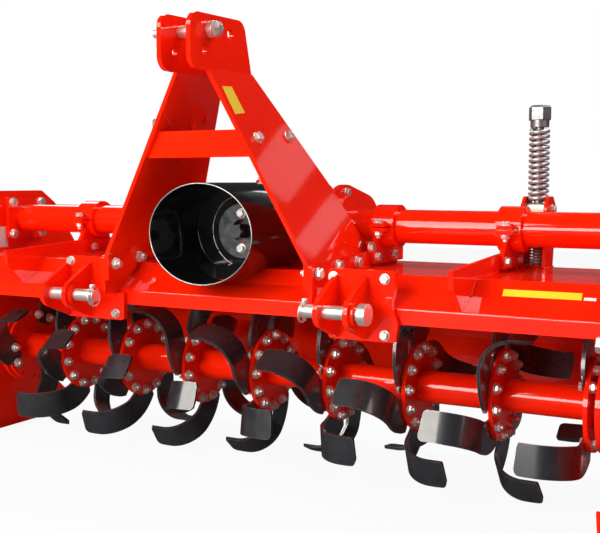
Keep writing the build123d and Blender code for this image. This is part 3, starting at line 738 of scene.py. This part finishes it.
# ---- pins ---------------------------------------------------------------------------------
TOP_PIN_HEAD = [(18, 0), (20.5, 2), (20.5, 9), (13, 16), (9, 17), (0, 17)]
TOP_PIN_POINT = [(14.5, 0), (14.5, 22), (11, 24), (11, 36), (4, 41), (0, 41)]
TOP_PIN_HEAD_X, TOP_PIN_POINT_X = 66, -78
PEG_R, PEG_RISES = 4.5, (26, 10, -10, -24)
PEG_HEAD, PEG_HEAD_RISE = [(0, 0), (7, 0.5), (8, 4), (7, 9), (0, 10)], 20
RING_R, RING_HALF_WIDTH, RING_DROP, RING_WIRE = 25, 24, 2, 2.3
RING_POINTS = 36
LYNCH_PINS = ((-326, -0.3), (313, 0.25))                                        # x, the ring's lean


def add_lynch_pin(heap, x, lean):
    """Short peg through a lower pin's end, with its spring ring hanging round the pin."""
    heap.add(swept([at(x, HITCH_Y, HITCH_Z + dz) for dz in PEG_RISES], PEG_R, 10))
    heap.add(turned(PEG_HEAD, 16), aim(at(x, HITCH_Y, HITCH_Z + PEG_HEAD_RISE), (0, 0, 1)))
    ring = []
    for k in range(RING_POINTS):
        a = 2 * math.pi * k / RING_POINTS
        rise = RING_R * math.cos(a)
        shift = lean * (rise - RING_R) / 2
        ring.append(at(x + shift, HITCH_Y + RING_HALF_WIDTH * math.sin(a), HITCH_Z - RING_DROP + rise))
    heap.add(swept(ring, RING_WIRE, 8, closed=True))


pins = Heap()
pins.add(turned(TOP_PIN_HEAD, 6), aim(at(TOP_PIN_HEAD_X, TOP_Y, TOP_Z), (1, 0, 0)))
pins.add(turned(TOP_PIN_POINT, 24), aim(at(TOP_PIN_POINT_X, TOP_Y, TOP_Z), (-1, 0, 0)))
for x, lean in LYNCH_PINS:
    add_lynch_pin(pins, x, lean)
pins.piece("lynch_pins", ZINC, "frame")


# ---- drive shaft and breather ---------------------------------------------------------------
SPLINES, SPLINE_ROOT_R, SPLINE_FRONT_Y = 6, 17, -178
SPLINE = [(0, 0), (4.2, 0.5), (4.6, 2), (4.6, 44), (0, 44)]
splines = Heap()
for k in range(SPLINES):
    a = math.radians(360 / SPLINES * k)
    tooth = at(SPLINE_ROOT_R * math.cos(a), SPLINE_FRONT_Y, PTO_Z + SPLINE_ROOT_R * math.sin(a))
    splines.add(turned(SPLINE, 4, math.pi / 4), aim(tooth, (0, 1, 0), -a))
splines.piece("shaft_splines", DARK_STEEL_AND_SHADE, "input_shaft")

BREATHER_X, BREATHER_Y, BREATHER_Z, BREATHER_HEX = -50, 40, 810, 9
BREATHER_CAP = [(8, 0), (10, 2), (10, 14), (7, 19), (0, 20)]
breather = Heap()
breather.add(hexagon(24, BREATHER_HEX), aim(at(BREATHER_X, BREATHER_Y, BREATHER_Z), (0, 0, 1)))
breather.add(turned(BREATHER_CAP, 20), aim(at(BREATHER_X, BREATHER_Y, BREATHER_Z + BREATHER_HEX), (0, 0, 1)))
breather.piece("breather_plug", ZINC, "frame")


# ---- shield: bright steel rings on its rims as painted highlights, and its floor on the deck ---
# half width, half height, y and wire radius of each rim
RIM_HIGHLIGHTS = ((153.6, 127.1, -348.4, 1.4), (96.5, 96.5, -141, 1.0))
RIM_POINTS = 96
INSIDE_X, INSIDE_Z = 153.0, 126.5
DECK_LINE = ((-285, 514), (LIP_Y, LIP_Z), (DECK_FOLD_Y, DECK_Z), (SHIELD_WALL_Y, DECK_Z))
LINE_STEPS, SHEET_LIFT = 8, 2


def oval(half_x, half_z, y):
    turns = [2 * math.pi * k / RIM_POINTS for k in range(RIM_POINTS)]
    return [at(half_x * math.cos(a), y, PTO_Z + half_z * math.sin(a)) for a in turns]


def shield_half(z):
    """Half the width of the shield's inside at a height, and 0 below it."""
    return INSIDE_X * math.sqrt(max(0.0, 1 - ((z - PTO_Z) / INSIDE_Z) ** 2))


# thin bright steel rings on the shield's front rim and on its back disc's edge: painted highlights along
# those edges
rim_highlights = Heap()
for half_x, half_z, y, wire in RIM_HIGHLIGHTS:
    rim_highlights.add(swept(oval(half_x, half_z, y), wire, 6, closed=True))
rim_highlights.piece("shield_rim_highlights", STEEL, "frame")

line = []
for (y0, z0), (y1, z1) in zip(DECK_LINE, DECK_LINE[1:]):
    for step in range(LINE_STEPS):
        line.append((y0 + (y1 - y0) * step / LINE_STEPS, z0 + (z1 - z0) * step / LINE_STEPS + SHEET_LIFT))
line.append((SHIELD_WALL_Y, DECK_Z + SHEET_LIFT))
line = [(y, z) for y, z in line if shield_half(z)]
edge_verts = [at(edge * shield_half(z), y, z) for y, z in line for edge in (-1, 1)]
quads = [(2 * i, 2 * i + 1, 2 * i + 3, 2 * i + 2) for i in range(len(line) - 1)]
trough = Heap()
trough.add((edge_verts, quads, False))
trough.piece("shield_floor", BLACK, "frame")


# ---- welds --------------------------------------------------------------------------------
# faces of the lower hitch brackets' ears
EAR_FACES_X = (352.5, 364.5, 428.5, 440.5, -476.5, -464.5, -400.5, -388.5)
EAR_LOW, EAR_HIGH, EAR_BEAD = 438, 588, 3.2
# faces of the support and gusset plates that stand on the deck
STANDING_FACES_X = (306, 318, 656, 668)
STANDING_FRONT_Y, STANDING_REAR_Y, DECK_BEAD = -200, 150, 3.5
DECK_END_Y, DECK_END_Z = 322, 545
ROD_EAR_FACES = (-34, -26, 26, 34)
ROD_EAR_FRONT_Y, ROD_EAR_REAR_Y = 124, 196

welds = Heap()
for x in EAR_FACES_X:
    add_weld(welds, at(x, BRACKET_Y, EAR_LOW), at(x, BRACKET_Y, EAR_HIGH), EAR_BEAD)
for s in (-1, 1):
    for x in STANDING_FACES_X:
        add_weld(welds, at(s * x, STANDING_FRONT_Y, DECK_Z), at(s * x, STANDING_REAR_Y, DECK_Z), DECK_BEAD)
        add_weld(welds, at(s * x, LIP_Y, LIP_Z), at(s * x, DECK_FOLD_Y, DECK_Z), DECK_BEAD)
    side_x = s * SIDE_PLATE_X
    add_weld(welds, at(side_x, DECK_FOLD_Y, DECK_Z), at(side_x, DECK_REAR_Y, DECK_Z), DECK_BEAD)
    add_weld(welds, at(side_x, DECK_REAR_Y, DECK_Z), at(side_x, DECK_END_Y, DECK_END_Z), DECK_BEAD)
for x in ROD_BRACKETS_X:
    for dx in ROD_EAR_FACES:
        add_weld(welds, at(x + dx, ROD_EAR_FRONT_Y, DECK_Z), at(x + dx, ROD_EAR_REAR_Y, DECK_Z), EAR_BEAD)
welds.piece("weld_beads", ORANGE, "frame")


# ---- labels -------------------------------------------------------------------------------
# corners in an order whose normal points outwards
MAST_LABEL = ((110.3, -351.5, 968.4), (107.2, -303, 974), (71.5, -307, 1039), (72.7, -352, 1036.8))
DECK_LABEL = ((741, -227.4, 549.8), (917, -227.4, 549.8), (917, -216.9, 564), (741, -216.9, 564))
DECK_STRIP = ((922, -227.4, 549.8), (948, -227.4, 549.8), (948, -223, 555.7), (922, -223, 555.7))
SIDE_LABEL = tuple((-SIDE_PLATE_X, y, z) for y, z in ((-68, 594), (-16, 594), (-16, 660), (-68, 660)))
# name, look, and each plate's corners and thickness
LABELS = (
    ("bare_labels", YELLOW, ((MAST_LABEL, 0.9), (DECK_LABEL, 0.5))),
    ("white_strip", WHITE, ((DECK_STRIP, 0.5),)),
    ("blank_plate", SILVER, ((SIDE_LABEL, 0.6),)),
)
for name, look, plates in LABELS:
    heap = Heap()
    for corners, thickness in plates:
        heap.add(plate([at(*corner) for corner in corners], thickness))
    heap.piece(name, look, "frame")
